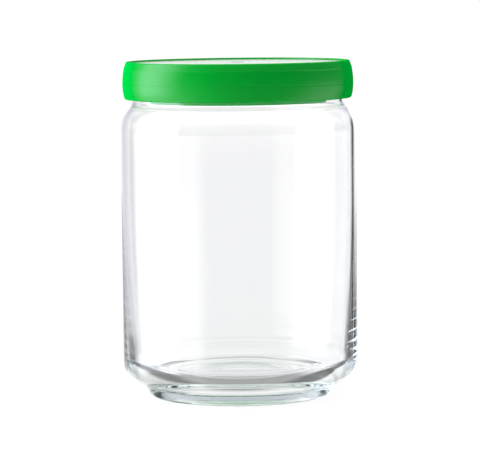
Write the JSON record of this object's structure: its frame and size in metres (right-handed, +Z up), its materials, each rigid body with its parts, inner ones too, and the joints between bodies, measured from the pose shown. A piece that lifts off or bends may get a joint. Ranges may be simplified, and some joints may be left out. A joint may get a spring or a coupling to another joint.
{
  "type": "storage jar with lid",
  "caption": "Round clear glass jar with a stepped stacking foot and a press-on translucent green plastic lid with a soft sealing ring.",
  "frame": {"origin": "centre of the jar's foot, on the surface it stands on", "axes": "+Z up, along the axis that the jar, the lid and the seal are turned about"},
  "size_m": [0.1048, 0.1048, 0.149],
  "materials": {
    "clear_glass": "clear, polished soda-lime glass",
    "green_plastic": "translucent, fine frosted",
    "seal_rubber": "milky, soft satin"
  },
  "bodies": {
    "jar": {"glass_jar": "clear_glass"},
    "seal": {"lid_seal": "seal_rubber"},
    "lid": {"lid_cap": "green_plastic"}
  },
  "joints": [
    {"name": "lid_lift", "type": "slide", "parent": "jar", "child": "seal", "axis": [0, 0, 1], "range_m": [0, 0.024]},
    {"name": "lid_twist", "type": "hinge", "parent": "seal", "child": "lid", "pos_m": [0, 0, 0.145], "axis": [0, 0, 1], "continuous": true}
  ]
}
